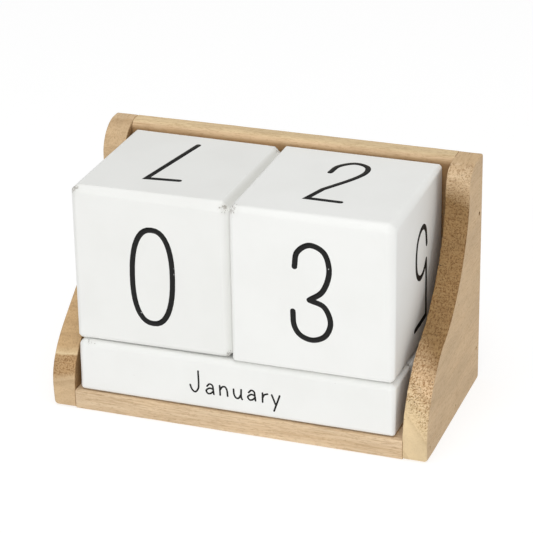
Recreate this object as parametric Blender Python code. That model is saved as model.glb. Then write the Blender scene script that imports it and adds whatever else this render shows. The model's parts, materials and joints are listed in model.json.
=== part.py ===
"""Perpetual block calendar: a nailed wooden tray that holds three month bars and two number cubes.

Run it with: blender --background --python part.py
Units are metres, +Z is up, +X is to the right as the calendar is read, and its front faces -Y.
The origin is the middle of the footprint, on the surface that the calendar stands on.
"""

import math
from collections import namedtuple

import bmesh
import bpy
from mathutils import Vector
from mathutils.geometry import interpolate_bezier

# Driving dimensions
CUBE_SIDE = 0.060
BAR_SIDE = 0.0202
BAR_LENGTH = 0.1205
INNER_WIDTH = 0.1256
SIDE_THICKNESS = 0.0089
BASE_THICKNESS = 0.0078
BACK_THICKNESS = 0.0077
FRAME_HEIGHT = 0.0908
GAP = 0.0003
BAR_SETBACK = 0.0008

# Rounding of the edges
CUBE_EDGE_RADIUS = 0.0028
BAR_EDGE_RADIUS = 0.0018
BOARD_EDGE_RADIUS = 0.0006
BLOCK_EDGE_SEGMENTS = 4
BOARD_EDGE_SEGMENTS = 2
SMOOTH_BELOW_ANGLE = math.radians(35)

# Where the loose blocks happen to stand in the tray
BAR_ROW_X = -0.0005
LEFT_CUBE_X = -0.0311
RIGHT_CUBE_X = 0.0292
LEFT_CUBE_SETBACK = 0.0018
RIGHT_CUBE_SETBACK = 0.0011

# Side panel outlines, whose places are (distance behind the front, height). The panels are cut
# by hand, so the two differ.
PanelShape = namedtuple("PanelShape", "top_radius neck_setback waist waist_slope")
PANEL_SHAPES = {
    "left": PanelShape(0.0120, 0.0546, Vector((0.0165, 0.0321)), math.radians(36)),
    "right": PanelShape(0.0085, 0.0515, Vector((0.0200, 0.0370)), math.radians(20)),
}
PANEL_LIP = Vector((0.0, 0.0090))
NECK_HANDLE = 0.0200
COVE_HANDLE = 0.0165
SHOULDER_HANDLE = 0.0100
LIP_HANDLE = 0.0105
ARC_STEPS = 6
CURVE_STEPS = 11

# Brads, with the length counted from the head's top
BRAD_LENGTH = 0.020
BRAD_SHANK_RADIUS = 0.0005
BRAD_HEAD_RADIUS = 0.0007
BRAD_HEAD_HEIGHT = 0.0006
BRAD_TIP_LENGTH = 0.0012
BRAD_TIP_RADIUS = 0.0001
BRAD_RECESS = 0.0004
BRAD_SIDES = 12
DRILL_OVERSHOOT = 0.0005
BASE_BRAD_SETBACKS = (0.0050, 0.0380)
BACK_BRAD_HEIGHTS = (0.0140, 0.0685)
REAR_BRAD_X = (-0.045, 0.0, 0.045)

BAR_NAMES = ("month_bar_front", "month_bar_middle", "month_bar_rear")

# Worked out from the dimensions above
BAR_COUNT = len(BAR_NAMES)
INNER_DEPTH = BAR_SETBACK + BAR_COUNT * (BAR_SIDE + GAP)
FRAME_DEPTH = INNER_DEPTH + BACK_THICKNESS
FRONT_Y = -FRAME_DEPTH / 2
BAR_FLOOR_Z = BASE_THICKNESS + GAP
CUBE_FLOOR_Z = BAR_FLOOR_Z + BAR_SIDE + GAP
PANEL_X = (INNER_WIDTH + SIDE_THICKNESS) / 2
OUTER_X = INNER_WIDTH / 2 + SIDE_THICKNESS
BACK_Y = FRONT_Y + INNER_DEPTH + BACK_THICKNESS / 2


def clear_scene():
    for item in list(bpy.data.objects):
        bpy.data.objects.remove(item, do_unlink=True)


def principled(name, color, roughness, metallic=0.0):
    material = bpy.data.materials.new(name)
    material.use_nodes = True
    shader = material.node_tree.nodes["Principled BSDF"]
    shader.inputs["Base Color"].default_value = (*color, 1.0)
    shader.inputs["Roughness"].default_value = roughness
    shader.inputs["Metallic"].default_value = metallic
    material.diffuse_color = (*color, 1.0)
    return material


def object_of(name, shape, location, material):
    """Turns a bmesh into a named object of one material."""
    bmesh.ops.recalc_face_normals(shape, faces=shape.faces)
    mesh = bpy.data.meshes.new(name)
    shape.to_mesh(mesh)
    shape.free()
    mesh.materials.append(material)
    mesh.shade_smooth()
    mesh.set_sharp_from_angle(angle=SMOOTH_BELOW_ANGLE)
    item = bpy.data.objects.new(name, mesh)
    item.location = location
    bpy.context.scene.collection.objects.link(item)
    return item


def round_edges(item, radius, segments):
    bevel = item.modifiers.new("rounded_edges", "BEVEL")
    bevel.width = radius
    bevel.segments = segments
    bevel.limit_method = "ANGLE"
    bevel.angle_limit = SMOOTH_BELOW_ANGLE


def block(name, size, location, material, edge_radius, edge_segments):
    """A rectangular piece with rounded edges, with its origin at its centre."""
    shape = bmesh.new()
    bmesh.ops.create_cube(shape, size=1.0)
    bmesh.ops.scale(shape, vec=size, verts=shape.verts)
    item = object_of(name, shape, location, material)
    round_edges(item, edge_radius, edge_segments)
    return item


def bezier_span(start, start_handle, end_handle, end):
    """Points from start to just before end."""
    return interpolate_bezier(start, start_handle, end_handle, end, CURVE_STEPS)[:-1]


def panel_outline(panel):
    """The side panel's outline: flat top, rounded crown, cove, shoulder and upright lip."""
    neck = Vector((panel.neck_setback, FRAME_HEIGHT - panel.top_radius))
    crown_centre = neck + Vector((panel.top_radius, 0.0))
    crown = []
    for step in range(ARC_STEPS):
        angle = math.pi / 2 * (1 + step / ARC_STEPS)
        spoke = Vector((math.cos(angle), math.sin(angle)))
        crown.append(crown_centre + panel.top_radius * spoke)
    down = Vector((0.0, -1.0))
    forward = Vector((-math.cos(panel.waist_slope), -math.sin(panel.waist_slope)))
    cove = bezier_span(
        neck,
        neck + NECK_HANDLE * down,
        panel.waist - COVE_HANDLE * forward,
        panel.waist,
    )
    shoulder = bezier_span(
        panel.waist,
        panel.waist + SHOULDER_HANDLE * forward,
        PANEL_LIP - LIP_HANDLE * down,
        PANEL_LIP,
    )
    back_top = Vector((FRAME_DEPTH, FRAME_HEIGHT))
    front_foot = Vector((0.0, 0.0))
    back_foot = Vector((FRAME_DEPTH, 0.0))
    return [back_top, *crown, *cove, *shoulder, PANEL_LIP, front_foot, back_foot]


def side_panel(side, centre_x, material):
    """The outline extruded through the board's thickness, with its origin at the front foot."""
    shape = bmesh.new()
    corners = []
    for point in panel_outline(PANEL_SHAPES[side]):
        corners.append(shape.verts.new((-SIDE_THICKNESS / 2, point.x, point.y)))
    face = shape.faces.new(corners)
    extruded = bmesh.ops.extrude_face_region(shape, geom=[face])["geom"]
    moved = [part for part in extruded if isinstance(part, bmesh.types.BMVert)]
    bmesh.ops.translate(shape, vec=(SIDE_THICKNESS, 0.0, 0.0), verts=moved)
    item = object_of(side + "_side_panel", shape, (centre_x, FRONT_Y, 0.0), material)
    round_edges(item, BOARD_EDGE_RADIUS, BOARD_EDGE_SEGMENTS)
    return item


def turned(name, profile, location, outward, material):
    """A solid turned about its local Z axis, which points outward; the profile is (radius, height)."""
    shape = bmesh.new()
    points = [shape.verts.new((radius, 0.0, height)) for radius, height in profile]
    lines = [shape.edges.new(pair) for pair in zip(points, points[1:])]
    bmesh.ops.spin(
        shape,
        geom=points + lines,
        cent=(0.0, 0.0, 0.0),
        axis=(0.0, 0.0, 1.0),
        angle=2 * math.pi,
        steps=BRAD_SIDES,
        use_merge=True,
    )
    bmesh.ops.remove_doubles(shape, verts=shape.verts, dist=BRAD_TIP_RADIUS / 2)
    item = object_of(name, shape, location, material)
    item.rotation_euler = Vector(outward).to_track_quat("Z", "Y").to_euler()
    return item


def brad_profile(clearance):
    """Stepped profile of a brad, or with clearance of the hole that it sits in."""
    top = DRILL_OVERSHOOT if clearance else -BRAD_RECESS
    neck = -BRAD_RECESS - BRAD_HEAD_HEIGHT - clearance
    point = -BRAD_RECESS - BRAD_LENGTH - clearance
    head = BRAD_HEAD_RADIUS + clearance
    shank = BRAD_SHANK_RADIUS + clearance
    tip = BRAD_TIP_RADIUS + clearance
    return (
        (0.0, top),
        (head, top),
        (head, neck),
        (shank, neck),
        (shank, point + BRAD_TIP_LENGTH),
        (tip, point),
        (0.0, point),
    )


def drive_brad(name, entry, outward, boards, material):
    """Sets a brad just below the surface at entry, and drills its hole through the boards."""
    turned(name, brad_profile(0.0), entry, outward, material)
    drill = turned(name + "_drill", brad_profile(GAP), entry, outward, material)
    drill.hide_render = True
    drill.display_type = "WIRE"
    for board in boards:
        hole = board.modifiers.new(name, "BOOLEAN")
        hole.operation = "DIFFERENCE"
        hole.object = drill


def build_tray(wood, steel):
    base_depth = INNER_DEPTH - GAP
    board_length = INNER_WIDTH - 2 * GAP
    base = block(
        "base_board",
        (board_length, base_depth, BASE_THICKNESS),
        (0.0, FRONT_Y + base_depth / 2, BASE_THICKNESS / 2),
        wood,
        BOARD_EDGE_RADIUS,
        BOARD_EDGE_SEGMENTS,
    )
    back = block(
        "back_board",
        (board_length, BACK_THICKNESS, FRAME_HEIGHT),
        (0.0, BACK_Y, FRAME_HEIGHT / 2),
        wood,
        BOARD_EDGE_RADIUS,
        BOARD_EDGE_SEGMENTS,
    )
    for side, sign in (("left", -1), ("right", 1)):
        panel = side_panel(side, sign * PANEL_X, wood)
        outward = (sign, 0.0, 0.0)
        for place, setback in zip(("front", "middle"), BASE_BRAD_SETBACKS):
            entry = (sign * OUTER_X, FRONT_Y + setback, BASE_THICKNESS / 2)
            drive_brad(f"brad_{side}_base_{place}", entry, outward, (panel, base), steel)
        for place, height in zip(("lower", "upper"), BACK_BRAD_HEIGHTS):
            entry = (sign * OUTER_X, BACK_Y, height)
            drive_brad(f"brad_{side}_back_{place}", entry, outward, (panel, back), steel)
    for place, x in zip(("left", "centre", "right"), REAR_BRAD_X):
        entry = (x, FRAME_DEPTH / 2, BASE_THICKNESS / 2)
        drive_brad(f"brad_rear_{place}", entry, (0.0, 1.0, 0.0), (back, base), steel)


def build_bars(paint):
    size = (BAR_LENGTH, BAR_SIDE, BAR_SIDE)
    for row, name in enumerate(BAR_NAMES):
        centre_y = FRONT_Y + BAR_SETBACK + BAR_SIDE / 2 + row * (BAR_SIDE + GAP)
        location = (BAR_ROW_X, centre_y, BAR_FLOOR_Z + BAR_SIDE / 2)
        block(name, size, location, paint, BAR_EDGE_RADIUS, BLOCK_EDGE_SEGMENTS)


def build_cubes(paint):
    size = (CUBE_SIDE, CUBE_SIDE, CUBE_SIDE)
    stands = (
        ("left_number_cube", LEFT_CUBE_X, LEFT_CUBE_SETBACK),
        ("right_number_cube", RIGHT_CUBE_X, RIGHT_CUBE_SETBACK),
    )
    for name, centre_x, setback in stands:
        centre_y = FRONT_Y + setback + CUBE_SIDE / 2
        location = (centre_x, centre_y, CUBE_FLOOR_Z + CUBE_SIDE / 2)
        block(name, size, location, paint, CUBE_EDGE_RADIUS, BLOCK_EDGE_SEGMENTS)


def main():
    clear_scene()
    wood = principled("natural_wood", (0.60, 0.42, 0.24), 0.65)
    bar_paint = principled("bar_white_paint", (0.82, 0.82, 0.79), 0.5)
    cube_paint = principled("cube_white_paint", (0.84, 0.84, 0.81), 0.5)
    steel = principled("brad_steel", (0.35, 0.33, 0.31), 0.4, metallic=1.0)
    build_tray(wood, steel)
    build_bars(bar_paint)
    build_cubes(cube_paint)


main()
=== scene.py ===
"""Looks of a wooden perpetual block calendar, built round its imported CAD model.

Units are metres, +Z is up, +X is to the right as the calendar is read, and its front faces -Y.
The tray's four boards, the two number cubes and the three month bars are rebuilt with rounded
edges, wear and printed figures. The steel brads keep their CAD shape.
"""

import itertools
import json
import math
from collections import namedtuple

import bmesh
import bpy
from mathutils import Matrix, Quaternion, Vector, noise
from mathutils.geometry import interpolate_bezier


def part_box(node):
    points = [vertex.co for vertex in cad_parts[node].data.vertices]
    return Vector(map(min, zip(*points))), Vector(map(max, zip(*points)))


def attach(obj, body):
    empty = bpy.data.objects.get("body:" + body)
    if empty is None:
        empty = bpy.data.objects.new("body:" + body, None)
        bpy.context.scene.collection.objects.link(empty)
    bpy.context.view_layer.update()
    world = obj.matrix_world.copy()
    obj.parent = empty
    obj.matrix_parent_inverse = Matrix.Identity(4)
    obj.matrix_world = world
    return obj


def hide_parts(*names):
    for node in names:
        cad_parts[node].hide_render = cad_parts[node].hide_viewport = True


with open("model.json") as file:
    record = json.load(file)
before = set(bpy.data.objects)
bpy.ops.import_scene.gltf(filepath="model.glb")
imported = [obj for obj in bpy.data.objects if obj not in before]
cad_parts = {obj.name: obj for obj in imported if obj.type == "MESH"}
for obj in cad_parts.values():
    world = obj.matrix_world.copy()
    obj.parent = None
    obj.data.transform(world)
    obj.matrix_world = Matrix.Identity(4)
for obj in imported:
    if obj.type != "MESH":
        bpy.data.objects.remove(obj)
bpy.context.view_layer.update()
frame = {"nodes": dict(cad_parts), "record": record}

MM = 0.001
X_AXIS = Vector((1, 0, 0))
Y_AXIS = Vector((0, 1, 0))
Z_AXIS = Vector((0, 0, 1))

# Camera, with its angles in degrees
CAMERA_AZIMUTH = 20.39
CAMERA_ELEVATION = 24.59
CAMERA_ROLL = -1.17
CAMERA_DISTANCE = 0.8145
CAMERA_TARGET = Vector((-0.0004, 0.0023, 0.0500))
CAMERA_LENS = 150.5

# Side panel outlines. Places are (distance behind the front, height), the waist is where the cove
# turns into the shoulder, and foot_wear is how much rounder the edges get at the front foot
PanelShape = namedtuple("PanelShape", "top_radius neck_setback waist waist_slope foot_wear")
PANEL_SHAPES = {
    "left_side_panel": PanelShape(
        top_radius=0.0120, neck_setback=0.0546, waist=Vector((0.0165, 0.0321)),
        waist_slope=math.radians(36), foot_wear=0.0008,
    ),
    "right_side_panel": PanelShape(
        top_radius=0.0085, neck_setback=0.0515, waist=Vector((0.0200, 0.0370)),
        waist_slope=math.radians(20), foot_wear=0.0005,
    ),
}
PANEL_LIP = Vector((0.0, 0.0090))

# Lengths of the Bezier handles that shape the cove and the shoulder
NECK_HANDLE = 0.0200
COVE_HANDLE = 0.0165
SHOULDER_HANDLE = 0.0100
LIP_HANDLE = 0.0105
COVE_POINTS = 90
SHOULDER_POINTS = 60

# Finish of the boards. An end's rounding, its wear and CAP_MARGIN, which is how far the flat end
# starts inside it, stay below the corner radii, so that the rings of points never cross
PANEL_OUTER_RADIUS = 0.7 * MM
PANEL_INNER_RADIUS = 0.20 * MM
RAGGED_DEPTH = 0.50 * MM
RAGGED_LENGTH = 1.6 * MM
PANEL_CORNER_RADIUS = 1.2 * MM
FOOT_RADIUS = 1.9 * MM
FOOT_REACH = 9.0 * MM
BOARD_CORNER_RADIUS = 1.0 * MM
BOARD_BROWS = {"base_board": 0.8 * MM, "back_board": 3.0 * MM}
BOARD_END_RADIUS = 0.08 * MM
LEFT_SEAM = 0.16 * MM
RIGHT_SEAM = 0.02 * MM
CAP_MARGIN = 0.3 * MM
ARC_STEP = math.radians(9)
MITRE_LIMIT = 0.5
OUTLINE_STEP = 1.5 * MM
PANEL_RING_STEP = 0.8 * MM
BOARD_RING_STEP = 1.8 * MM
SANDING_DEPTH = 0.12 * MM
SANDING_LENGTH = 7 * MM
SPLINTER_START = 0.4 * MM
SPLINTER_WIDTH = 1.6
SPLINTER_SETBACK = 0.4
SPLINTER_LENGTH = 2.2
BRAD_CLEARANCE = 0.12 * MM
DRILL_OVERSHOOT = 1.0 * MM
DRILL_SIDES = 32
HEAD_HEIGHT = 0.6 * MM
HEAD_OVERHANG = 0.2 * MM
BACK_STRIP = 10 * MM
SHARP_ABOVE = math.radians(35)
FLAT_END = 0.9999

# Torn spots on the side panels' inner front edges, as (height, size, lean). A splinter's width,
# setback and length above are shares of its size, and so is its lean
SPLINTERS = {
    "left_side_panel": ((0.0260, 0.7 * MM, 0.2),),
    "right_side_panel": (
        (0.0160, 0.7 * MM, 0.3),
        (0.0304, 0.9 * MM, -0.2),
        (0.0374, 1.3 * MM, 0.4),
        (0.0438, 1.0 * MM, 0.1),
        (0.0570, 1.4 * MM, -0.3),
        (0.0652, 0.9 * MM, 0.5),
    ),
}

# Finish of each painted block. An edge is rounded by a circle's arc at a power of 2 and chamfered
# at 1. Each end has its edge radii at the front as (bottom, top), and rear is the share of them at
# the rear. greyness is how far the paint's colour is mixed towards grey, from 0 to 1, and the last
# field is painted shade from 0 to 1, which greys the upper right edge as if that bevel were in
# shade.
# knocks are (spot, reach), and a spot is its place across, back and up, each from -1 to 1 over the
# block. offset moves the paint's pattern, in mm
Finish = namedtuple("Finish", "power left right greyness offset knocks rear grime",
                    defaults=(1.0, 0.0))
BLOCK_FINISHES = {
    "left_number_cube": Finish(
        power=1.25, left=(1.3 * MM, 2.2 * MM), right=(2.6 * MM, 3.5 * MM), rear=0.9,
        greyness=0.9, grime=0.45, offset=(99.0, 40.0, 7.0),
        knocks=(((-1, -1, 1), 4.0 * MM), ((1, -1, 1), 3.6 * MM), ((1, 1, 1), 6.0 * MM),
                ((1, -1, -1), 3.0 * MM)),
    ),
    "right_number_cube": Finish(
        power=1.80, left=(1.3 * MM, 2.0 * MM), right=(2.0 * MM, 3.6 * MM), rear=0.4,
        greyness=0.0, offset=(110.0, 40.0, 7.0),
        knocks=(((-1, -1, 1), 4.6 * MM), ((1, 1, -1), 4.0 * MM)),
    ),
    "month_bar_front": Finish(
        power=1.70, left=(1.2 * MM, 2.4 * MM), right=(1.2 * MM, 2.4 * MM), rear=0.8,
        greyness=0.4, offset=(153.0, 9.0, 63.0),
        knocks=(((-0.93, -0.95, 1), 2.6 * MM), ((-0.89, -0.95, 1), 2.2 * MM),
                ((1, 1, 1), 3.0 * MM)),
    ),
    "month_bar_middle": Finish(
        power=1.60, left=(1.4 * MM, 2.0 * MM), right=(1.2 * MM, 2.4 * MM),
        greyness=0.7, offset=(170.0, 9.0, 63.0),
        knocks=(((-1, -1, 1), 3.4 * MM), ((0.4, 1, 1), 2.8 * MM)),
    ),
    "month_bar_rear": Finish(
        power=1.80, left=(1.2 * MM, 2.2 * MM), right=(1.3 * MM, 1.9 * MM),
        greyness=0.2, offset=(136.0, 9.0, 63.0),
        knocks=(((1, -1, 1), 3.4 * MM), ((-0.6, -1, 1), 2.6 * MM)),
    ),
}
EDGE_STEPS = 7
CORNER_REACH = 6.0 * MM
NEAR_STEPS = 8
FLAT_STEP = 2.4 * MM
EDGE_WOBBLE = 0.14 * MM
WOBBLE_LENGTH = 8 * MM
CHIP_DEPTH = 0.20 * MM

# Printed figures, in mm
DIGIT_STROKE = 2.05
LETTER_STROKE = 0.68
INK_HEIGHT = 0.03
INK_ROOT = 0.05
DIGIT_LEAN = 0.020
CURVE_SAMPLES = 10
CAP_ANGLES = (15, 30, 45, 60, 75, 87)

# Studio, with each light as (name, place, diameter, watts)
LIGHTS = (
    ("key", (0.45, -1.35, 0.85), 1.00, 6.5),
    ("fill", (0.05, -0.35, 1.60), 1.30, 10.3),
)
WORLD_STRENGTH = 0.46
FLOOR_GLOW = 0.70
FLOOR_SIZE = 12.0


# ---- Node helpers

MIX_FACTOR, MIX_FIRST, MIX_SECOND, MIX_RESULT = 0, 6, 7, 2


class Recipe:
    """A new material, with one call for each node that is added to it."""

    def __init__(self, name):
        self.material = bpy.data.materials.new(name)
        self.material.use_nodes = True
        self.tree = self.material.node_tree
        self.shader = self.tree.nodes["Principled BSDF"]

    def feed(self, socket, value):
        if isinstance(value, bpy.types.NodeSocket):
            self.tree.links.new(value, socket)
        elif socket.type == "RGBA":
            socket.default_value = (*value, 1.0)
        else:
            socket.default_value = value

    def add(self, kind, inputs, **settings):
        node = self.tree.nodes.new(kind)
        for key, value in settings.items():
            setattr(node, key, value)
        for key, value in inputs.items():
            self.feed(node.inputs[key], value)
        return node

    def math(self, operation, *values):
        inputs = dict(enumerate(values))
        return self.add("ShaderNodeMath", inputs, operation=operation).outputs[0]

    def times(self, first, second):
        return self.math("MULTIPLY", first, second)

    def vector(self, operation, *values):
        inputs = dict(enumerate(values))
        return self.add("ShaderNodeVectorMath", inputs, operation=operation).outputs[0]

    def combine(self, x, y, z):
        return self.add("ShaderNodeCombineXYZ", {0: x, 1: y, 2: z}).outputs[0]

    def object_millimetres(self):
        """The point's place in its object's space, in millimetres."""
        place = self.add("ShaderNodeTexCoord", {}).outputs["Object"]
        return self.vector("MULTIPLY", place, (1 / MM, 1 / MM, 1 / MM))

    def noise(self, place, scale, detail=2.0, roughness=0.5):
        """Smooth noise whose scale is given along each axis, in cycles for each mm."""
        stretched = self.vector("MULTIPLY", place, scale)
        inputs = {"Vector": stretched, "Scale": 1.0, "Detail": detail, "Roughness": roughness}
        return self.add("ShaderNodeTexNoise", inputs)

    def speckle(self, place, scale, detail=2.0, roughness=0.5):
        return self.noise(place, scale, detail, roughness).outputs["Fac"]

    def wander(self, place, scale, reach):
        """A smooth random shift, of up to reach from end to end."""
        color = self.noise(place, scale).outputs["Color"]
        centred = self.vector("SUBTRACT", color, (0.5, 0.5, 0.5))
        return self.vector("MULTIPLY", centred, reach)

    def dots(self, place, scale, radius, share):
        """Spots at random places, 1 at their middles. share is the part of the cells with one."""
        stretched = self.vector("MULTIPLY", place, scale)
        cells = self.add("ShaderNodeTexVoronoi", {"Vector": stretched, "Scale": 1.0}).outputs
        draw = self.add("ShaderNodeSeparateColor", {0: cells["Color"]}).outputs[0]
        chosen = self.math("LESS_THAN", draw, share)
        return self.times(self.fade(cells["Distance"], radius, radius * 0.4), chosen)

    def fade(self, value, low, high, start=0.0, end=1.0):
        """Value rescaled smoothly, from start at low to end at high."""
        if isinstance(low, float) and low > high:
            low, high, start, end = high, low, end, start
        inputs = {"Value": value, "From Min": low, "From Max": high, "To Min": start,
                  "To Max": end}
        return self.add("ShaderNodeMapRange", inputs, interpolation_type="SMOOTHSTEP").outputs[0]

    def ramp(self, value, *stops):
        """A colour that follows value through stops of (position, colour)."""
        node = self.add("ShaderNodeValToRGB", {"Fac": value})
        elements = node.color_ramp.elements
        for _ in stops[2:]:
            elements.new(1.0)
        for element, (position, color) in zip(elements, stops):
            element.position = position
            element.color = (*color, 1.0)
        return node.outputs[0]

    def mix(self, factor, first, second, blend="MIX"):
        inputs = {MIX_FACTOR: factor, MIX_FIRST: first, MIX_SECOND: second}
        node = self.add("ShaderNodeMix", {}, data_type="RGBA", blend_type=blend)
        for key, value in inputs.items():
            self.feed(node.inputs[key], value)
        return node.outputs[MIX_RESULT]

    def bump(self, height, distance, strength):
        inputs = {"Height": height, "Distance": distance, "Strength": strength}
        return self.add("ShaderNodeBump", inputs).outputs[0]

    def finish(self, inputs):
        for key, value in inputs.items():
            self.feed(self.shader.inputs[key], value)
        return self.material


# ---- Materials

PALE_WOOD = (0.775, 0.600, 0.360)
CREAM_WOOD = (0.790, 0.605, 0.400)
HONEY_WOOD = (0.730, 0.525, 0.318)
TAN_WOOD = (0.700, 0.520, 0.325)
ROSY_WOOD = (0.825, 0.590, 0.358)
DUSKY_WOOD = (0.645, 0.465, 0.275)
AMBER_WOOD = (0.620, 0.420, 0.220)
WARM_WOOD = (0.540, 0.350, 0.175)
# Painted shade for the tray's inner flanks below its top edge
PAINTED_SHADE_WOOD = (0.360, 0.215, 0.098)
COVE_BROWN = (0.330, 0.200, 0.082)
BROWN_WOOD = (0.300, 0.165, 0.065)
FIBRE_BROWN = (0.400, 0.240, 0.110)
PORE_BROWN = (0.095, 0.045, 0.016)

# Heights in mm between which the inner flanks turn from painted shade to the outer colour. The shade
# is painted into the wood's colour low in the tray, where the cubes and bars keep the light out
PAINTED_SHADE_HEIGHTS = (87.2, 89.9)

# How rough the saw left the rear ends, from 0 to 1
REAR_COARSENESS = 0.35

# What torn grain and open pits do to the colour under them
TORN_TINT = (0.780, 0.700, 0.600)
PIT_TINT = (0.500, 0.380, 0.260)

# Looks of the sawn ends, as (distance from the pith in mm, colour, coarseness from 0 to 1)
END_RANGE = 120.0
PLANK_END = [(0.0, TAN_WOOD, 0.4), (END_RANGE, WARM_WOOD, 0.4)]
LEFT_PANEL_END = [(0.0, DUSKY_WOOD, 0.1), (36.5, DUSKY_WOOD, 0.2), (38.5, WARM_WOOD, 0.8),
                  (44.5, WARM_WOOD, 0.8), (45.5, PALE_WOOD, 0.2), (48.0, AMBER_WOOD, 0.3),
                  (75.0, AMBER_WOOD, 0.4), (100.0, DUSKY_WOOD, 0.3)]
# Right panel: its brown cove band is partly end grain colour and partly painted shade from the cubes
RIGHT_PANEL_END = [(0.0, PALE_WOOD, 0.0), (45.0, PALE_WOOD, 0.1), (49.0, PALE_WOOD, 1.0),
                   (58.0, ROSY_WOOD, 1.0), (66.0, COVE_BROWN, 0.85), (102.0, COVE_BROWN, 0.85),
                   (110.0, TAN_WOOD, 0.7)]


# Timber of each board. grain is the axis along it, and pith is the middle of its rings in mm, as
# (the other level axis, height). Faces across that level axis are the flanks. The inner one, which
# faces inner_way, takes the inner colour below the tray's top edge, and that colour is painted
# shade for the dim space between the boards and the blocks. figure is how strongly the grain
# shows on the planed faces, and end_stops say how the sawn front end looks
Timber = namedtuple("Timber", "name grain pith ring_width top outer inner inner_way figure"
                              " end_stops offset")
TIMBERS = {
    "base_board": Timber(
        name="base_wood", grain="X", pith=(-70.0, -60.0), ring_width=5.2, top=CREAM_WOOD,
        outer=CREAM_WOOD, inner=CREAM_WOOD, inner_way=1, figure=0.7, end_stops=PLANK_END,
        offset=(31.0, 7.0, 210.0),
    ),
    "back_board": Timber(
        name="back_wood", grain="X", pith=(75.0, -40.0), ring_width=4.4, top=PALE_WOOD,
        outer=HONEY_WOOD, inner=PAINTED_SHADE_WOOD, inner_way=-1, figure=0.6, end_stops=PLANK_END,
        offset=(95.0, 63.0, 640.0),
    ),
    "left_side_panel": Timber(
        name="left_panel_wood", grain="Y", pith=(-60.0, -25.0), ring_width=4.0, top=TAN_WOOD,
        outer=DUSKY_WOOD, inner=PAINTED_SHADE_WOOD, inner_way=1, figure=0.6, end_stops=LEFT_PANEL_END,
        offset=(12.0, 150.0, 320.0),
    ),
    "right_side_panel": Timber(
        name="right_panel_wood", grain="Y", pith=(35.0, -20.0), ring_width=4.6, top=DUSKY_WOOD,
        outer=DUSKY_WOOD, inner=PAINTED_SHADE_WOOD, inner_way=-1, figure=0.35, end_stops=RIGHT_PANEL_END,
        offset=(180.0, 44.0, 90.0),
    ),
}


def growth_rings(recipe, trunk, grown, pith, ring_width):
    """(distance from the pith in mm, how dark the latewood is) at a point of the trunk."""
    lean = recipe.wander(grown, (0.03, 0.03, 0.006), (10.0, 10.0, 0.0))
    ripple = recipe.wander(grown, (0.22, 0.22, 0.025), (2.2, 2.2, 0.0))
    waved = recipe.vector("ADD", recipe.vector("ADD", trunk, lean), ripple)
    spoke = recipe.vector("SUBTRACT", waved, (*pith, 0.0))
    spoke = recipe.vector("MULTIPLY", spoke, (1.0, 1.0, 0.0))
    length = recipe.add("ShaderNodeVectorMath", {0: spoke}, operation="LENGTH")
    radius = length.outputs["Value"]
    turn = recipe.math("FRACT", recipe.math("DIVIDE", radius, ring_width))
    rise = recipe.fade(turn, 0.30, 0.90)
    latewood = recipe.times(rise, recipe.fade(turn, 1.0, 0.90))
    season = recipe.speckle(recipe.combine(radius, 0.0, 0.0), (0.16, 0.0, 0.0), 1.0)
    return radius, recipe.times(latewood, recipe.fade(season, 0.35, 0.68, 0.05, 1.0))


Grain = namedtuple("Grain", "fibres streaks dashes grit scrapes vessels")


def fine_grain(recipe, grown):
    """The small features of timber, drawn out along the trunk's third axis."""
    clusters = recipe.fade(recipe.speckle(grown, (0.25, 0.25, 0.03)), 0.42, 0.58, 0.25, 1.0)
    dashes = recipe.dots(grown, (2.0, 2.0, 0.16), 0.36, 0.55)
    vessels = recipe.dots(grown, (1.35, 1.35, 0.50), 0.34, 0.30)
    return Grain(
        fibres=recipe.speckle(grown, (3.4, 3.4, 0.10), 3.0, 0.7),
        streaks=recipe.speckle(grown, (0.95, 0.95, 0.022), 4.0, 0.65),
        dashes=recipe.times(dashes, clusters),
        grit=recipe.speckle(grown, (1.6, 1.6, 0.45), 4.0, 0.75),
        scrapes=recipe.speckle(grown, (0.25, 2.0, 0.30), 3.0, 0.65),
        vessels=recipe.times(vessels, clusters),
    )


def planed(recipe, color, grain, latewood, figure):
    """The colour as rings, streaks, fibres and pores mark it on a planed face."""
    color = recipe.mix(recipe.times(latewood, 0.35 * figure), color, WARM_WOOD)
    streaks = recipe.fade(grain.streaks, 0.46, 0.66, 0.0, 0.50 * figure)
    color = recipe.mix(streaks, color, WARM_WOOD)
    fibres = recipe.fade(grain.fibres, 0.46, 0.66, 0.0, 0.60 * figure)
    color = recipe.mix(fibres, color, FIBRE_BROWN)
    color = recipe.mix(recipe.times(grain.dashes, 0.60 * figure), color, FIBRE_BROWN)
    return recipe.mix(recipe.fade(grain.grit, 0.50, 0.66, 0.0, 0.38), color, PIT_TINT, "MULTIPLY")


def sawn(recipe, grain, latewood, radius, rear, stops):
    """(colour, open vessels, torn pits) of the end grain. Rear ends are plain."""
    share = recipe.math("DIVIDE", radius, END_RANGE)
    places, colors, cuts = zip(*stops)
    places = [place / END_RANGE for place in places]
    color = recipe.ramp(share, *zip(places, colors))
    coarse = recipe.ramp(share, *zip(places, [(cut, cut, cut) for cut in cuts]))
    color = recipe.mix(rear, color, TAN_WOOD)
    coarse = recipe.mix(rear, coarse, (REAR_COARSENESS,) * 3)
    scrapes = recipe.times(recipe.fade(grain.scrapes, 0.42, 0.60), coarse)
    pits = recipe.times(recipe.fade(grain.grit, 0.49, 0.60), coarse)
    flecks = recipe.fade(grain.grit, 0.45, 0.36, 0.0, 0.7)
    flecks = recipe.times(flecks, recipe.fade(coarse, 0.88, 1.0))
    vessels = recipe.times(grain.vessels, coarse)
    color = recipe.mix(recipe.times(latewood, 0.25), color, BROWN_WOOD)
    color = recipe.mix(flecks, color, CREAM_WOOD)
    color = recipe.mix(recipe.times(scrapes, 0.6), color, TORN_TINT, "MULTIPLY")
    color = recipe.mix(pits, color, PIT_TINT, "MULTIPLY")
    return recipe.mix(recipe.times(vessels, 0.85), color, PORE_BROWN), vessels, pits


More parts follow.
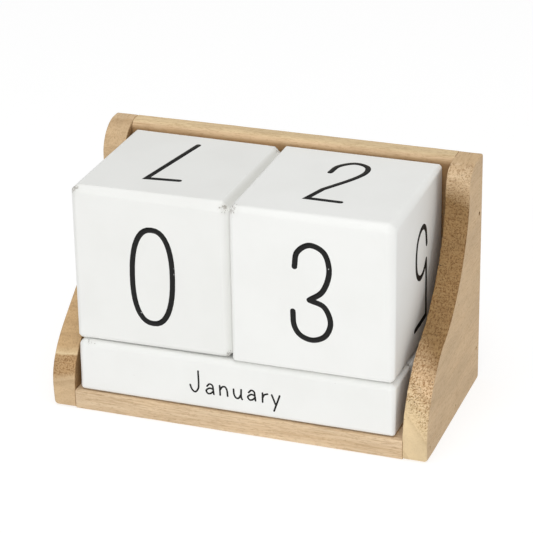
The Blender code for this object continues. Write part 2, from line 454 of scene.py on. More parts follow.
def wood(timber):
    """Solid timber: rings round a pith line, and fibres and pores along the grain."""
    recipe = Recipe(timber.name)
    axes = recipe.add("ShaderNodeSeparateXYZ", {0: recipe.object_millimetres()}).outputs
    along, level = (axes[0], axes[1]) if timber.grain == "X" else (axes[1], axes[0])
    trunk = recipe.combine(level, axes[2], along)
    grown = recipe.vector("ADD", trunk, timber.offset)
    radius, latewood = growth_rings(recipe, trunk, grown, timber.pith, timber.ring_width)
    grain = fine_grain(recipe, grown)

    normal = recipe.add("ShaderNodeTexCoord", {}).outputs["Normal"]
    facing = recipe.add("ShaderNodeSeparateXYZ", {0: normal}).outputs
    ends, flanks = (facing[0], facing[1]) if timber.grain == "X" else (facing[1], facing[0])
    end_grain = recipe.fade(recipe.math("ABSOLUTE", ends), 0.08, 0.28)
    flank = recipe.fade(recipe.math("ABSOLUTE", flanks), 0.35, 0.80)
    # Painted shade: below the tray's top edge the inner flanks turn to the inner colour, for the dim
    # space between the boards and the blocks
    inside = recipe.fade(recipe.times(flanks, timber.inner_way), 0.0, 0.5)
    painted_shade = recipe.times(recipe.fade(axes[2], *PAINTED_SHADE_HEIGHTS, 1.0, 0.0), inside)
    face = recipe.mix(flank, timber.top, recipe.mix(painted_shade, timber.outer, timber.inner))
    face = planed(recipe, face, grain, latewood, timber.figure)
    rear = recipe.fade(ends, 0.0, 0.5)
    end, vessels, pits = sawn(recipe, grain, latewood, radius, rear, timber.end_stops)

    clouds = recipe.speckle(grown, (0.09, 0.09, 0.022), 3.0, 0.6)
    shade = recipe.fade(clouds, 0.32, 0.70, 1.05, 0.92)
    color = recipe.mix(end_grain, face, end)
    color = recipe.mix(1.0, color, recipe.combine(shade, shade, shade), "MULTIPLY")
    torn = recipe.math("MAXIMUM", vessels, recipe.times(pits, 0.7))
    openings = recipe.times(torn, end_grain)
    openings = recipe.math("MAXIMUM", openings, recipe.times(grain.dashes, 0.5))
    relief = recipe.math("SUBTRACT", recipe.times(grain.fibres, 0.4), openings)
    return recipe.finish({
        "Base Color": color,
        "Roughness": recipe.fade(grain.fibres, 0.3, 0.7, 0.58, 0.74),
        "Specular IOR Level": 0.25,
        "Normal": recipe.bump(relief, 0.12 * MM, 0.6),
    })


WHITE_PAINT = (0.885, 0.890, 0.868)
GREYED_PAINT = (0.835, 0.838, 0.812)
RUBBED_PRIMER = (0.300, 0.275, 0.240)
# Grey of the soft halos round knocked paint, and of painted shade on the upper right edges
HALO_AND_SHADE_GREY = (0.560, 0.550, 0.500)


def paint(name, offset, greyed):
    """Satin white on wood, rubbed through where the mesh attribute "wear" is high.

    Its other mesh attribute is painted shade, from 0 to 1, that greys the upper right edge as if it
    were in shade.
    greyed is how far the coat's colour is mixed towards grey, from 0 to 1.
    """
    recipe = Recipe(name)
    place = recipe.vector("ADD", recipe.object_millimetres(), offset)
    clouds = recipe.speckle(place, (0.05, 0.05, 0.05), 3.0)
    film = recipe.speckle(place, (0.55, 0.55, 0.55), 3.0, 0.6)
    dust = recipe.dots(place, (0.22, 0.22, 0.22), 0.05, 0.20)
    wear = recipe.add("ShaderNodeAttribute", {}, attribute_name="wear").outputs["Fac"]
    grime = recipe.add("ShaderNodeAttribute", {}, attribute_name="grime").outputs["Fac"]
    flaking = recipe.speckle(place, (1.2, 1.2, 1.2), 4.0, 0.75)
    flaking = recipe.math("ADD", flaking, recipe.times(wear, 0.22))
    rubbed = recipe.times(recipe.fade(flaking, 0.66, 0.74), recipe.fade(wear, 0.02, 0.25))
    grey_share = recipe.fade(clouds, 0.35, 0.70, greyed * 0.6, 0.4 + greyed * 0.6)
    color = recipe.mix(grey_share, WHITE_PAINT, GREYED_PAINT)
    color = recipe.mix(recipe.times(dust, 0.25), color, RUBBED_PRIMER)
    # Grey from the soft halos round knocks, and painted shade on the upper right edge
    halo_and_shade = recipe.math("MAXIMUM", grime, recipe.times(wear, 0.22))
    color = recipe.mix(halo_and_shade, color, HALO_AND_SHADE_GREY)
    color = recipe.mix(recipe.times(rubbed, 0.75), color, RUBBED_PRIMER)
    sheen = recipe.fade(film, 0.3, 0.7, 0.38, 0.50)
    relief = recipe.math("SUBTRACT", film, rubbed)
    return recipe.finish({
        "Base Color": color,
        "Roughness": recipe.math("ADD", sheen, recipe.times(rubbed, 0.3)),
        "Specular IOR Level": 0.40,
        "Normal": recipe.bump(relief, 0.04 * MM, 0.35),
    })


def ink():
    """Stamped black, with a fine broken film and a few pinholes."""
    recipe = Recipe("black_ink")
    place = recipe.object_millimetres()
    film = recipe.speckle(place, (1.8, 1.8, 1.8), 4.0, 0.65)
    pinholes = recipe.dots(place, (0.45, 0.45, 0.45), 0.11, 0.10)
    color = recipe.mix(recipe.fade(film, 0.35, 0.70), (0.004, 0.004, 0.004), (0.012, 0.012, 0.011))
    color = recipe.mix(recipe.times(pinholes, 0.8), color, GREYED_PAINT)
    return recipe.finish({
        "Base Color": color,
        "Roughness": recipe.fade(film, 0.3, 0.7, 0.45, 0.60),
        "Specular IOR Level": 0.22,
        "Normal": recipe.bump(film, 0.02 * MM, 0.4),
    })


def steel():
    """Dull drawn wire with brown spots."""
    recipe = Recipe("dull_steel")
    place = recipe.object_millimetres()
    stains = recipe.fade(recipe.speckle(place, (1.4, 1.4, 1.4), 3.0), 0.45, 0.62)
    scratches = recipe.speckle(place, (6.0, 6.0, 6.0), 3.0, 0.7)
    return recipe.finish({
        "Base Color": recipe.mix(stains, (0.33, 0.32, 0.31), (0.16, 0.10, 0.06)),
        "Metallic": recipe.fade(stains, 0.0, 1.0, 0.95, 0.35),
        "Roughness": recipe.fade(scratches, 0.3, 0.7, 0.35, 0.60),
        "Normal": recipe.bump(scratches, 0.03 * MM, 0.4),
    })


def floor_paper():
    """Pale seamless paper, lit a little from below as on a light table."""
    recipe = Recipe("pale_paper")
    tooth = recipe.speckle(recipe.object_millimetres(), (0.9, 0.9, 0.9), 3.0)
    return recipe.finish({
        "Base Color": recipe.mix(tooth, (0.38, 0.38, 0.38), (0.35, 0.35, 0.35)),
        "Roughness": 0.9,
        "Specular IOR Level": 0.1,
        "Emission Color": (1.0, 1.0, 1.0),
        "Emission Strength": FLOOR_GLOW,
    })


# ---- Mesh helpers

def object_of(name, points, faces, material):
    mesh = bpy.data.meshes.new(name)
    mesh.from_pydata(points, [], faces)
    mesh.materials.append(material)
    mesh.shade_smooth()
    item = bpy.data.objects.new(name, mesh)
    bpy.context.scene.collection.objects.link(item)
    return item


def tube_faces(ring_count, side_count, closed=False):
    """Faces of a tube whose points run ring by ring, with a flat cap on each end unless closed."""
    last = (ring_count - 1) * side_count
    caps = [tuple(reversed(range(side_count))), tuple(range(last, last + side_count))]
    faces = [] if closed else caps
    rings = range(ring_count if closed else ring_count - 1)
    for ring, side in itertools.product(rings, range(side_count)):
        here, there = ring * side_count, (ring + 1) % ring_count * side_count
        following = (side + 1) % side_count
        faces.append((here + side, here + following, there + following, there + side))
    return faces


def apply_boolean(operation, target, others):
    """Changes target by a Boolean with each of the others, which are then removed."""
    for other in others:
        modifier = target.modifiers.new(operation, "BOOLEAN")
        modifier.operation = operation
        modifier.object = other
    bpy.context.view_layer.update()
    graph = bpy.context.evaluated_depsgraph_get()
    result = bpy.data.meshes.new_from_object(target.evaluated_get(graph))
    target.modifiers.clear()
    target.data = result
    for other in others:
        bpy.data.objects.remove(other)
    return target


def stepped(start, end, step):
    """Even positions from start to just before end, about a step apart."""
    count = max(1, round((end - start) / step))
    return [start + (end - start) * index / count for index in range(count)]


def smooth_share(value):
    clamped = min(max(value, 0.0), 1.0)
    return clamped * clamped * (3 - 2 * clamped)


# ---- Boards

def arc(centre, radius, start, end):
    """Points of an arc between two angles in degrees, both ends included."""
    start, end = math.radians(start), math.radians(end)
    count = math.ceil(abs(end - start) / ARC_STEP)
    angles = [start + (end - start) * index / count for index in range(count + 1)]
    return [centre + radius * Vector((math.cos(angle), math.sin(angle))) for angle in angles]


def filled_in(outline):
    """The outline with points added along its long straight stretches."""
    points = []
    for point, following in zip(outline, outline[1:] + outline[:1]):
        length = max((following - point).length, OUTLINE_STEP)
        for share in stepped(0.0, 1.0, OUTLINE_STEP / length):
            points.append(point.lerp(following, share))
    return points


def board_outline(low, high, brow):
    """A board's section as (y, z), running anticlockwise. brow is its upper front radius."""
    r = BOARD_CORNER_RADIUS
    return filled_in([
        *arc(Vector((high.y - r, high.z - r)), r, 0, 90),
        *arc(Vector((low.y + brow, high.z - brow)), brow, 90, 180),
        *arc(Vector((low.y + r, low.z + r)), r, 180, 270),
        *arc(Vector((high.y - r, low.z + r)), r, 270, 360),
    ])


def panel_outline(low, high, panel):
    """A side panel's section as (y, z): flat top, crown, cove, shoulder and upright lip."""
    front = Vector((low.y, low.z))
    neck = Vector((low.y + panel.neck_setback, high.z - panel.top_radius))
    crown = neck + Vector((panel.top_radius, 0.0))
    down = Vector((0.0, -1.0))
    forward = Vector((-math.cos(panel.waist_slope), -math.sin(panel.waist_slope)))
    waist, lip = front + panel.waist, front + PANEL_LIP
    cove_handles = neck + NECK_HANDLE * down, waist - COVE_HANDLE * forward
    shoulder_handles = waist + SHOULDER_HANDLE * forward, lip - LIP_HANDLE * down
    r, foot = PANEL_CORNER_RADIUS, FOOT_RADIUS
    return filled_in([
        *arc(Vector((high.y - r, high.z - r)), r, 0, 90),
        *arc(crown, panel.top_radius, 90, 180)[:-1],
        *interpolate_bezier(neck, *cove_handles, waist, COVE_POINTS)[:-1],
        *interpolate_bezier(waist, *shoulder_handles, lip, SHOULDER_POINTS),
        *arc(Vector((low.y + foot, low.z + foot)), foot, 180, 270),
        *arc(Vector((high.y - r, low.z + r)), r, 270, 360),
    ])


def inward_steps(outline):
    """For each point of an anticlockwise outline, the step that moves it 1 unit inwards."""
    steps = []
    neighbours = zip(outline[-1:] + outline[:-1], outline, outline[1:] + outline[:1])
    for before, point, after in neighbours:
        first, second = (point - before).normalized(), (after - point).normalized()
        normal = Vector((-first.y - second.y, first.x + second.x)).normalized()
        steps.append(normal / max(MITRE_LIMIT, normal.dot(Vector((-first.y, first.x)))))
    return steps


def half_rings(half_length, ring_step):
    """(turn round the edge, share of the flat) of each ring of points, from one end inwards."""
    rounding = [(step / EDGE_STEPS, 0.0) for step in range(EDGE_STEPS)]
    return rounding + [(1.0, share) for share in stepped(0.0, 1.0, ring_step / half_length)]


def sanding(point):
    """How deep hand sanding has cut at a point."""
    return SANDING_DEPTH * (0.5 + 0.5 * noise.noise(point / SANDING_LENGTH))


def board(name, outline, ends, radius_at, ring_step, material):
    """The outline extruded along X between two ends, with its edges rounded and its faces sanded.

    radius_at gives the radius of an end's edge, from which end and the place on the outline.
    """
    inward = inward_steps(outline)
    half_length = (ends[1] - ends[0]) / 2
    rings = half_rings(half_length, ring_step)
    halves = [(0, 1, ring) for ring in rings] + [(1, -1, ring) for ring in reversed(rings)]
    radii = [[radius_at(end, place) for place in outline] for end in (0, 1)]
    points = []

    def add_ring(end, x_sign, turn, share, margin):
        angle = math.pi / 2 * turn
        for place, step, radius in zip(outline, inward, radii[end]):
            flat_length = half_length - radius
            x = ends[end] + x_sign * (radius * (1 - math.cos(angle)) + share * flat_length)
            surface = Vector((x, place.x, place.y))
            flat = place + step * (radius * (1 - math.sin(angle)) + margin + sanding(surface))
            points.append((x, flat.x, flat.y))

    add_ring(0, 1, 0.0, 0.0, CAP_MARGIN)
    for end, x_sign, (turn, share) in halves:
        add_ring(end, x_sign, turn, share, 0.0)
    add_ring(1, -1, 0.0, 0.0, CAP_MARGIN)
    return object_of(name, points, tube_faces(len(halves) + 2, len(outline)), material)


def splinter(place, inward, size, lean):
    """A cutter for a torn spot on a front edge: a thin wedge that points into the board.

    inward is 1 or -1, the way from the edge into the board along X.
    """
    start = Vector(place) - Vector((inward * SPLINTER_START, SPLINTER_START, 0.0))
    corners = [
        start + Vector((0.0, 0.0, 0.5 * size)),
        start - Vector((0.0, 0.0, 0.5 * size)),
        start + Vector((inward * (SPLINTER_START + SPLINTER_WIDTH * size), SPLINTER_SETBACK * size,
                        lean * size)),
        start + Vector((0.0, SPLINTER_START + SPLINTER_LENGTH * size, 0.0)),
    ]
    faces = [(0, 1, 2), (0, 3, 1), (1, 3, 2), (2, 3, 0)]
    if inward < 0:
        faces = [face[::-1] for face in faces]
    return object_of("splinter", corners, faces, None)


def drill(brad):
    """A cutter for the hole that a brad's node sits in, open at the board's surface."""
    low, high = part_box(brad)
    axis = max(range(3), key=lambda candidate: high[candidate] - low[candidate])
    outward = Vector((0, 0, 0))
    outward[axis] = math.copysign(1, low[axis] + high[axis])
    top = (low + high) / 2
    top[axis] = high[axis] if outward[axis] > 0 else low[axis]
    head_radius = (high[axis - 1] - low[axis - 1]) / 2 + BRAD_CLEARANCE
    shank_radius = head_radius - HEAD_OVERHANG
    length = high[axis] - low[axis] + BRAD_CLEARANCE
    profile = (
        (head_radius, DRILL_OVERSHOOT),
        (head_radius, -HEAD_HEIGHT - BRAD_CLEARANCE),
        (shank_radius, -HEAD_HEIGHT - BRAD_CLEARANCE),
        (shank_radius, -length),
    )
    turn = outward.to_track_quat("Z", "Y")
    points = []
    for radius, height in profile:
        for side in range(DRILL_SIDES):
            angle = 2 * math.pi * side / DRILL_SIDES
            spoke = Vector((radius * math.cos(angle), radius * math.sin(angle), height))
            points.append(top + turn @ spoke)
    faces = [face[::-1] for face in tube_faces(len(profile), DRILL_SIDES)]
    return object_of(brad + "_drill", points, faces, None)


# ---- Painted blocks

def grid_offset(index, count, low, high, radius):
    """Place of one of a row of points from low to high: closest together on the roundings."""
    from_end = min(index, count - 1 - index)
    half = (high - low) / 2
    if from_end < EDGE_STEPS:
        offset = radius * (1 - math.tan(math.pi / 4 * (1 - from_end / EDGE_STEPS)))
    elif from_end < EDGE_STEPS + NEAR_STEPS:
        offset = radius + (CORNER_REACH - radius) * (from_end - EDGE_STEPS) / NEAR_STEPS
    else:
        far_steps = count // 2 - EDGE_STEPS - NEAR_STEPS
        share = (from_end - EDGE_STEPS - NEAR_STEPS) / far_steps
        offset = CORNER_REACH + (half - CORNER_REACH) * share
    return low + offset if index < count / 2 else high - offset


def grid_count(length):
    far_steps = max(1, round((length / 2 - CORNER_REACH) / FLAT_STEP))
    return 2 * (EDGE_STEPS + NEAR_STEPS + far_steps) + 1


def edge_radius(finish, across, back, up):
    """A block's edge radius at a place, given as its shares of the way right, back and up."""
    across, back, up = map(smooth_share, (across, back, up))
    left, right = (bottom + (top - bottom) * up for bottom, top in (finish.left, finish.right))
    return (left + (right - left) * across) * (1 + (finish.rear - 1) * back)


def knocked_places(low, high, finish):
    """(place, reach) of a block's knocks, on the surface of its rounded edges and corners."""
    middle, half = (low + high) / 2, (high - low) / 2
    places = []
    for spot, reach in finish.knocks:
        at_end = [abs(part) == 1 for part in spot]
        radius = edge_radius(finish, *((part + 1) / 2 for part in spot))
        rounding = radius * (1 - sum(at_end) ** (-1 / finish.power))
        place = [middle[axis] + spot[axis] * (half[axis] - rounding * at_end[axis])
                 for axis in range(3)]
        places.append((Vector(place), reach))
    return places


def rounded_block(name, low, high, finish, material):
    """A block with hand-rounded edges, whose radii change from place to place.

    Its mesh attribute "wear" says where its paint is knocked off, and its other one is painted shade
    along the upper right edge.
    """
    knocks = knocked_places(low, high, finish)
    counts = [grid_count(high[axis] - low[axis]) for axis in range(3)]
    points, wear, grime, numbers, faces = [], [], [], {}, []

    def number_of(key):
        if key not in numbers:
            numbers[key] = len(points)
            radius = edge_radius(finish, *(key[axis] / (counts[axis] - 1) for axis in range(3)))
            grid = Vector([grid_offset(key[axis], counts[axis], low[axis], high[axis], radius)
                           for axis in range(3)])
            core = Vector([min(max(grid[axis], low[axis] + radius), high[axis] - radius)
                           for axis in range(3)])
            away = grid - core
            away /= sum(abs(part) ** finish.power for part in away) ** (1 / finish.power)
            surface = core + radius * away
            outward = away.normalized()
            edge = min(1.0, (1 - max(map(abs, outward))) / (1 - math.sqrt(0.5)))
            near = max([smooth_share(1 - (surface - place).length / reach)
                        for place, reach in knocks], default=0.0)
            wobble = EDGE_WOBBLE * edge * (0.5 + 0.5 * noise.noise(surface / WOBBLE_LENGTH))
            points.append(surface - outward * (wobble + CHIP_DEPTH * near * edge))
            wear.append(near)
            # Painted shade: the paint greys on the upper right edge, as that bevel would look in
            # shade
            grime.append(finish.grime * 2 * max(0.0, outward.x) * max(0.0, outward.z))
        return numbers[key]

    for axis in range(3):
        second, third = (axis + 1) % 3, (axis + 2) % 3
        cells = itertools.product(range(counts[second] - 1), range(counts[third] - 1))
        for (i, j), end in itertools.product(cells, (0, counts[axis] - 1)):
            square = []
            for more_i, more_j in ((0, 0), (1, 0), (1, 1), (0, 1)):
                key = [end, end, end]
                key[second], key[third] = i + more_i, j + more_j
                square.append(number_of(tuple(key)))
            faces.append(square if end else square[::-1])
    item = object_of(name, points, faces, material)
    for attribute, values in (("wear", wear), ("grime", grime)):
        item.data.attributes.new(attribute, "FLOAT", "POINT").data.foreach_set("value", values)
    return item


# ---- Printed figures

def curve(*points):
    """A smooth run through the points (Catmull-Rom)."""
    knots = [Vector(point) for point in points]
    knots = [2 * knots[0] - knots[1], *knots, 2 * knots[-1] - knots[-2]]
    path = []
    for before, start, end, after in zip(knots, knots[1:], knots[2:], knots[3:]):
        handles = start + (end - before) / 6, end - (after - start) / 6
        path += interpolate_bezier(start, *handles, end, CURVE_SAMPLES)[:-1]
    return [*path, knots[-2]]


def loop(centre, radii, squareness=2.0):
    """A closed oval, its ends meeting. A squareness above 2 fills out its shoulders."""
    path = []
    for step in range(4 * CURVE_SAMPLES + 1):
        angle = 2 * math.pi * step / (4 * CURVE_SAMPLES)
        across, up = math.cos(angle), math.sin(angle)
        path.append(Vector((
            centre[0] + radii[0] * math.copysign(abs(across) ** (2 / squareness), across),
            centre[1] + radii[1] * math.copysign(abs(up) ** (2 / squareness), up),
        )))
    return path


def leaning(path, height):
    """The path slanted to the right about a height."""
    return [Vector((x + DIGIT_LEAN * (y - height), y)) for x, y in path]


# Each figure is drawn by the middle of its strokes, in mm from its face's lower left corner
DIGITS = {
    "0": [leaning(loop((30.6, 28.5), (7.7, 18.3), 2.35), 28.5)],
    "1": [[(26.4, 40.6), (31.6, 46.6), (31.6, 10.4)]],
    "2": [[*curve((24.0, 39.8), (25.1, 46.1), (29.9, 50.2), (35.1, 48.4), (36.3, 43.0), (33.6, 35.8),
                  (26.5, 24.2)), (23.6, 15.0), (36.0, 14.9)]],
    "3": [curve((24.1, 40.5), (25.1, 46.0), (29.7, 49.2), (35.0, 46.8), (36.7, 39.8), (34.3, 32.4),
                (29.4, 28.4)),
          curve((29.4, 28.4), (34.8, 26.4), (37.1, 20.7), (35.2, 15.4), (30.6, 13.1), (26.0, 14.4),
                (23.7, 18.0), (23.3, 23.3))],
    "4": [[(38.4, 21.0), (22.6, 21.0), (34.2, 46.6), (34.2, 10.4)]],
    "5": [[(34.0, 51.2), (20.3, 50.9), (20.7, 28.9)],
          curve((20.7, 28.9), (23.9, 32.2), (28.2, 33.0), (32.0, 30.2), (33.2, 24.6), (32.0, 18.6),
                (28.6, 15.2), (24.6, 14.6), (21.6, 17.0), (20.3, 22.8))],
    "6": [curve((34.6, 46.8), (29.2, 41.6), (25.0, 32.6), (23.1, 21.6)),
          loop((30.4, 20.0), (7.3, 9.7), 2.1)],
    "7": [[(24.3, 44.3), (36.4, 45.5), (30.3, 10.5)]],
    "8": [loop((30.5, 38.0), (6.2, 8.6)), loop((30.5, 19.9), (7.5, 9.6))],
}

ARCH = curve((0.1, 2.3), (1.0, 3.6), (2.1, 3.7), (2.75, 2.4), (2.95, 0.2))
BOWL = loop((1.45, 1.85), (1.45, 1.85))

# Letters, as (advance, strokes), in mm from the start of the baseline
LETTERS = {
    "A": (7.6, [[(0.0, 0.0), (2.7, 8.5), (5.4, 0.0)], [(0.9, 2.8), (4.5, 2.8)]]),
    "D": (7.2, [[(0.0, 0.0), (0.0, 8.4)],
                curve((0.0, 8.4), (2.7, 7.9), (4.7, 5.8), (4.7, 2.7), (2.7, 0.5), (0.0, 0.0))]),
    "F": (6.4, [[(4.2, 8.4), (0.0, 8.4), (0.0, 0.0)], [(0.0, 4.5), (3.4, 4.5)]]),
    "J": (6.1, [[(3.2, 8.5), *curve((3.3, 4.0), (3.1, 1.6), (1.9, 0.0), (0.6, 0.9), (0.0, 2.6))]]),
    "M": (8.6, [[(0.0, 0.0), (0.4, 8.4), (3.1, 2.4), (5.8, 8.4), (6.2, 0.0)]]),
    "N": (7.3, [[(0.0, 0.0), (0.0, 8.4), (4.8, 0.0), (4.8, 8.4)]]),
    "O": (8.3, [loop((3.0, 4.2), (3.0, 4.3), 2.1)]),
    "S": (6.6, [curve((4.1, 7.0), (2.4, 8.5), (0.5, 7.2), (0.8, 5.4), (2.3, 4.3), (3.9, 3.1),
                      (4.1, 1.3), (2.1, -0.1), (0.0, 1.3))]),
    "a": (5.3, [curve((0.4, 3.0), (1.4, 4.0), (2.5, 3.5), (2.75, 1.8), (2.95, 0.1)),
                curve((2.75, 2.1), (1.3, 2.3), (0.05, 1.2), (0.7, 0.1), (1.8, 0.3), (2.75, 1.2))]),
    "b": (5.4, [[(0.0, 8.4), (0.0, 0.0)], BOWL]),
    "c": (4.9, [curve((2.7, 3.0), (1.6, 3.7), (0.3, 2.9), (0.0, 1.6), (0.7, 0.2), (1.8, 0.0),
                      (2.8, 0.7))]),
    "e": (5.2, [curve((0.1, 1.9), (1.4, 1.9), (2.8, 2.0), (2.5, 3.2), (1.4, 3.7), (0.3, 3.0),
                      (0.0, 1.7), (0.6, 0.3), (1.7, 0.0), (2.7, 0.6))]),
    "g": (5.3, [BOWL, curve((2.9, 3.6), (2.9, 0.6), (2.8, -1.6), (1.6, -2.9), (0.3, -2.2))]),
    "h": (5.3, [[(0.0, 8.4), (0.0, 0.0)], ARCH]),
    "i": (2.6, [[(0.2, 3.6), (0.2, 0.0)], [(0.2, 5.4), (0.2, 5.6)]]),
    "l": (2.6, [[(0.2, 8.4), (0.2, 0.0)]]),
    "m": (8.0, [[(0.0, 3.7), (0.0, 0.0)], ARCH, [(x + 2.8, y) for x, y in ARCH]]),
    "n": (5.3, [[(0.0, 3.9), (0.1, 0.2)], ARCH]),
    "o": (5.4, [BOWL]),
    "p": (5.4, [[(0.0, 3.7), (0.0, -2.9)], BOWL]),
    "r": (3.85, [[(0.35, 3.6), (0.35, 0.0)], curve((0.45, 1.9), (1.05, 3.0), (2.25, 3.5))]),
    "s": (4.7, [curve((2.3, 3.1), (1.3, 3.7), (0.2, 2.9), (0.6, 2.1), (1.8, 1.6), (2.4, 0.8),
                      (1.2, 0.0), (0.0, 0.6))]),
    "t": (4.4, [[(0.9, 6.2), *curve((0.9, 1.4), (1.2, 0.2), (2.1, 0.1))], [(0.0, 3.6), (2.1, 3.6)]]),
    "u": (5.35, [curve((0.0, 3.4), (0.1, 1.5), (0.8, 0.1), (1.9, 0.1), (2.8, 1.6)),
                [(2.9, 3.6), *curve((2.8, 1.4), (2.9, 0.4), (3.2, -0.2))]]),
    "v": (5.1, [[(0.0, 3.6), (1.4, 0.0), (2.8, 3.6)]]),
    "y": (5.3, [[(0.0, 3.4), (1.5, -0.5)], [(3.0, 3.5), (0.8, -2.9)]]),
}
LETTER_GAP = 2.3
WORD_SHIFT = 0.55
BASELINE = 6.2


def face_places(box, right, up):
    """Matrix from a face's own place and height in mm to the frame, for reading right and up."""
    low, high = box
    outward = right.cross(up)
    corner = (low + high) / 2
    for direction, sign in ((right, -1), (up, -1), (outward, 1)):
        half = abs(direction.dot(high - low)) / 2
        corner = corner + sign * half * direction
    turn = Matrix((right, up, outward)).transposed().to_4x4()
    return Matrix.Translation(corner) @ turn @ Matrix.Scale(MM, 4)


def stroke_rows(path, width):
    """(middle, sideways step) of each row of points along a stroke, and whether it is closed.

    An open stroke has round ends.
    """
    points = [Vector(point) for point in path]
    closed = (points[0] - points[-1]).length < width / 100
    if closed:
        points.pop()
        neighbours = zip(points[-1:] + points[:-1], points, points[1:] + points[:1])
    else:
        outer = [2 * points[0] - points[1], *points, 2 * points[-1] - points[-2]]
        neighbours = zip(outer, points, outer[2:])
    rows = []
    for before, point, after in neighbours:
        first, second = (point - before).normalized(), (after - point).normalized()
        across = (first.orthogonal() + second.orthogonal()).normalized()
        rows.append((point, across * (width / 2 / across.dot(first.orthogonal()))))
    if not closed:
        start, end = (points[0] - points[1]).normalized(), (points[-1] - points[-2]).normalized()
        for angle in map(math.radians, CAP_ANGLES):
            reach, narrowing = width / 2 * math.sin(angle), math.cos(angle)
            rows.insert(0, (points[0] + start * reach, -start.orthogonal() * width / 2 * narrowing))
            rows.append((points[-1] + end * reach, end.orthogonal() * width / 2 * narrowing))
    return rows, closed


def stroke(path, width, places, material):
    """One raised stripe of ink along the path."""
    rows, closed = stroke_rows(path, width)
    points = []
    for middle, across in rows:
        for side, height in ((1, INK_HEIGHT), (-1, INK_HEIGHT), (-1, -INK_ROOT), (1, -INK_ROOT)):
            flat = middle + side * across
            points.append(places @ Vector((flat.x, flat.y, height)))
    return object_of("stroke", points, tube_faces(len(rows), 4, closed), material)


def figure(paths, width, places, material):
    """A digit or letter, its strokes joined into one solid."""
    first, *others = [stroke(path, width, places, material) for path in paths]
    return apply_boolean("UNION", first, others) if others else first


def word(text):
    """The strokes of each letter of a word that is centred on x = 0, as lists of paths."""
    length = sum(LETTERS[letter][0] for letter in text) - LETTER_GAP
    cursor = -length / 2
    letters = []
    for letter in text:
        advance, paths = LETTERS[letter]
        letters.append([[(x + cursor, y) for x, y in path] for path in paths])
        cursor += advance
    return letters


def joined(name, items):
    """One object made of all the items, which are removed."""
    shape = bmesh.new()
    for item in items:
        shape.from_mesh(item.data)
    bmesh.ops.recalc_face_normals(shape, faces=shape.faces)
    material = items[0].data.materials[0]
    mesh = bpy.data.meshes.new(name)
    shape.to_mesh(mesh)
    shape.free()
    mesh.materials.append(material)
    whole = bpy.data.objects.new(name, mesh)
    bpy.context.scene.collection.objects.link(whole)
    for item in items:
        bpy.data.objects.remove(item)
    return whole


# ---- Whole pieces

# Reading right and reading up on each face of a block, as seen when it stands in the tray
FRONT, BACK = (X_AXIS, Z_AXIS), (-X_AXIS, Z_AXIS)
LEFT, RIGHT = (-Y_AXIS, Z_AXIS), (Y_AXIS, Z_AXIS)
TOP, BOTTOM = (X_AXIS, Y_AXIS), (X_AXIS, -Y_AXIS)
TOP_TURNED, RIGHT_TURNED = (-X_AXIS, -Y_AXIS), (-Y_AXIS, -Z_AXIS)

CUBE_FIGURES = {
    "left_number_cube": (("0", FRONT), ("7", TOP_TURNED), ("1", RIGHT), ("8", BACK), ("2", LEFT),
                         ("6", BOTTOM)),
    "right_number_cube": (("3", FRONT), ("2", TOP), ("5", RIGHT_TURNED), ("4", BACK), ("0", LEFT),
                          ("1", BOTTOM)),
}
BAR_FACES = (FRONT, TOP, BACK, BOTTOM)
BAR_MONTHS = {
    "month_bar_front": ("January", "February", "March", "April"),
    "month_bar_middle": ("May", "June", "July", "August"),
    "month_bar_rear": ("September", "October", "November", "December"),
}
BODY_OF = {node: body for body, nodes in frame["record"]["behaviour"]["bodies"].items()
           for node in nodes}


def stand_for(piece, node):
    """The piece takes a CAD node's place and moves with its body."""
    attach(piece, BODY_OF[node])
    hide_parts(node)


def boxes_meet(first, second):
    (first_low, first_high), (second_low, second_high) = first, second
    return all(first_low[axis] < second_high[axis] and second_low[axis] < first_high[axis]
               for axis in range(3))


def finish_board(piece, node, splinters=()):
    """Cuts the splinters and the holes of the board's brads, and puts it in the frame."""
    brads = [name for name in BODY_OF if name.startswith("brad_")]
    drills = [drill(name) for name in brads if boxes_meet(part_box(name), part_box(node))]
    apply_boolean("DIFFERENCE", piece, [*drills, *splinters])
    piece.data.shade_smooth()
    piece.data.set_sharp_from_angle(angle=SHARP_ABOVE)
    for face in piece.data.polygons:
        face.use_smooth = abs(face.normal.x) < FLAT_END
    stand_for(piece, node)


def front_edge_at(outline, height):
    """The point of a side panel's front edge that is nearest to a height."""
    front = [place for place in outline if place.x < outline[0].x - BACK_STRIP]
    return min(front, key=lambda place: abs(place.y - height))


def ragged(place):
    """Where the sawn inner edge has torn, from 0 to 1."""
    return 0.5 + noise.noise(Vector((place.x, place.y, 0.0)) / RAGGED_LENGTH)


def panel_radius(node):
    """How round a side panel's edges are: more on its outer side, and most at its front foot."""
    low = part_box(node)[0]
    outer_end = int(low.x > 0)
    foot = Vector((low.y, low.z))

    def radius_at(end, place):
        if end != outer_end:
            return PANEL_INNER_RADIUS + RAGGED_DEPTH * smooth_share(ragged(place))
        nearness = smooth_share(1 - (place - foot).length / FOOT_REACH)
        return PANEL_OUTER_RADIUS + nearness * PANEL_SHAPES[node].foot_wear
    return radius_at


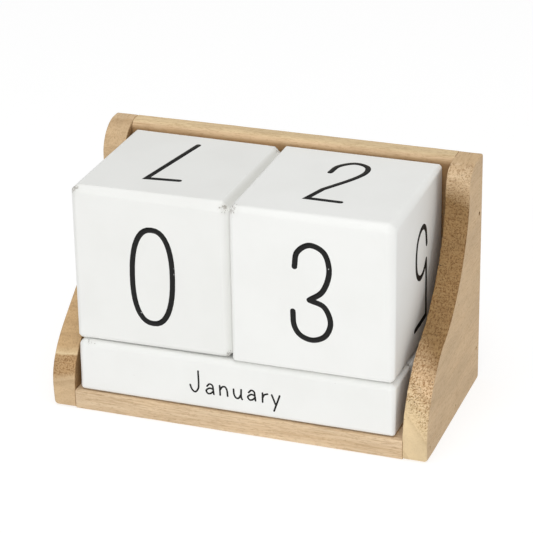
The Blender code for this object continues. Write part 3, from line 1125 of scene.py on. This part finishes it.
def build_tray():
    left_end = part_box("left_side_panel")[1].x + LEFT_SEAM
    right_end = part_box("right_side_panel")[0].x - RIGHT_SEAM
    for node, brow in BOARD_BROWS.items():
        outline = board_outline(*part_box(node), brow)
        piece = board(node.replace("board", "plank"), outline, (left_end, right_end),
                      lambda end, place: BOARD_END_RADIUS, BOARD_RING_STEP, wood(TIMBERS[node]))
        finish_board(piece, node)
    for node, shape in PANEL_SHAPES.items():
        low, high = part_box(node)
        outline = panel_outline(low, high, shape)
        piece = board(node.replace("panel", "cheek"), outline, (low.x, high.x), panel_radius(node),
                      PANEL_RING_STEP, wood(TIMBERS[node]))
        inner_x, inward = (high.x, -1) if low.x < 0 else (low.x, 1)
        splinters = [splinter((inner_x, *front_edge_at(outline, height)), inward, size, lean)
                     for height, size, lean in SPLINTERS[node]]
        finish_board(piece, node, splinters)


def build_block(node, name):
    finish = BLOCK_FINISHES[node]
    coat = paint(name + "_paint", finish.offset, finish.greyness)
    block = rounded_block(name, *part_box(node), finish, coat)
    stand_for(block, node)


def build_cubes(black):
    for node, figures in CUBE_FIGURES.items():
        name = node.replace("number_", "")
        build_block(node, name)
        printed = [figure(DIGITS[digit], DIGIT_STROKE, face_places(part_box(node), *face), black)
                   for digit, face in figures]
        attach(joined(name + "_digits", printed), BODY_OF[node])


def build_bars(black):
    for node, months in BAR_MONTHS.items():
        name = node.replace("month_", "")
        build_block(node, name)
        low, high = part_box(node)
        start = Matrix.Translation(((high.x - low.x) / 2 / MM + WORD_SHIFT, BASELINE, 0))
        printed = []
        for month, face in zip(months, BAR_FACES):
            places = face_places((low, high), *face) @ start
            printed += [figure(paths, LETTER_STROKE, places, black) for paths in word(month)]
        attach(joined(name + "_months", printed), BODY_OF[node])


def polish_brads(metal):
    """The brads keep their CAD shape and take a better finish."""
    for name, node in frame["nodes"].items():
        if name.startswith("brad_"):
            node.data.materials.clear()
            node.data.materials.append(metal)


# ---- Studio

def aim_camera():
    camera = bpy.data.objects.new("camera", bpy.data.cameras.new("camera"))
    camera.data.lens = CAMERA_LENS
    azimuth, elevation = math.radians(CAMERA_AZIMUTH), math.radians(CAMERA_ELEVATION)
    level = math.cos(elevation)
    back = Vector((math.sin(azimuth) * level, -math.cos(azimuth) * level, math.sin(elevation)))
    camera.location = CAMERA_TARGET + CAMERA_DISTANCE * back
    camera.rotation_mode = "QUATERNION"
    roll = Quaternion(Z_AXIS, math.radians(CAMERA_ROLL))
    camera.rotation_quaternion = (-back).to_track_quat("-Z", "Y") @ roll
    bpy.context.scene.collection.objects.link(camera)
    bpy.context.scene.camera = camera


def soft_light(name, place, size, watts):
    light = bpy.data.lights.new(name, "AREA")
    light.shape = "DISK"
    light.size = size
    light.energy = watts
    lamp = bpy.data.objects.new(name, light)
    lamp.location = place
    lamp.rotation_mode = "QUATERNION"
    lamp.rotation_quaternion = (CAMERA_TARGET - lamp.location).to_track_quat("-Z", "Y")
    bpy.context.scene.collection.objects.link(lamp)


def light_studio():
    for name, place, size, watts in LIGHTS:
        soft_light(name, Vector(place), size, watts)
    world = bpy.data.worlds.new("studio_white")
    world.use_nodes = True
    background = world.node_tree.nodes["Background"]
    background.inputs["Color"].default_value = (1.0, 1.0, 1.0, 1.0)
    background.inputs["Strength"].default_value = WORLD_STRENGTH
    bpy.context.scene.world = world
    bpy.context.scene.view_settings.view_transform = "Standard"


def lay_floor():
    half = FLOOR_SIZE / 2
    corners = [(-half, -half, 0), (half, -half, 0), (half, half, 0), (-half, half, 0)]
    floor = object_of("floor", corners, [(0, 1, 2, 3)], floor_paper())


def main():
    aim_camera()
    black = ink()
    build_tray()
    build_cubes(black)
    build_bars(black)
    polish_brads(steel())
    lay_floor()
    light_studio()


main()
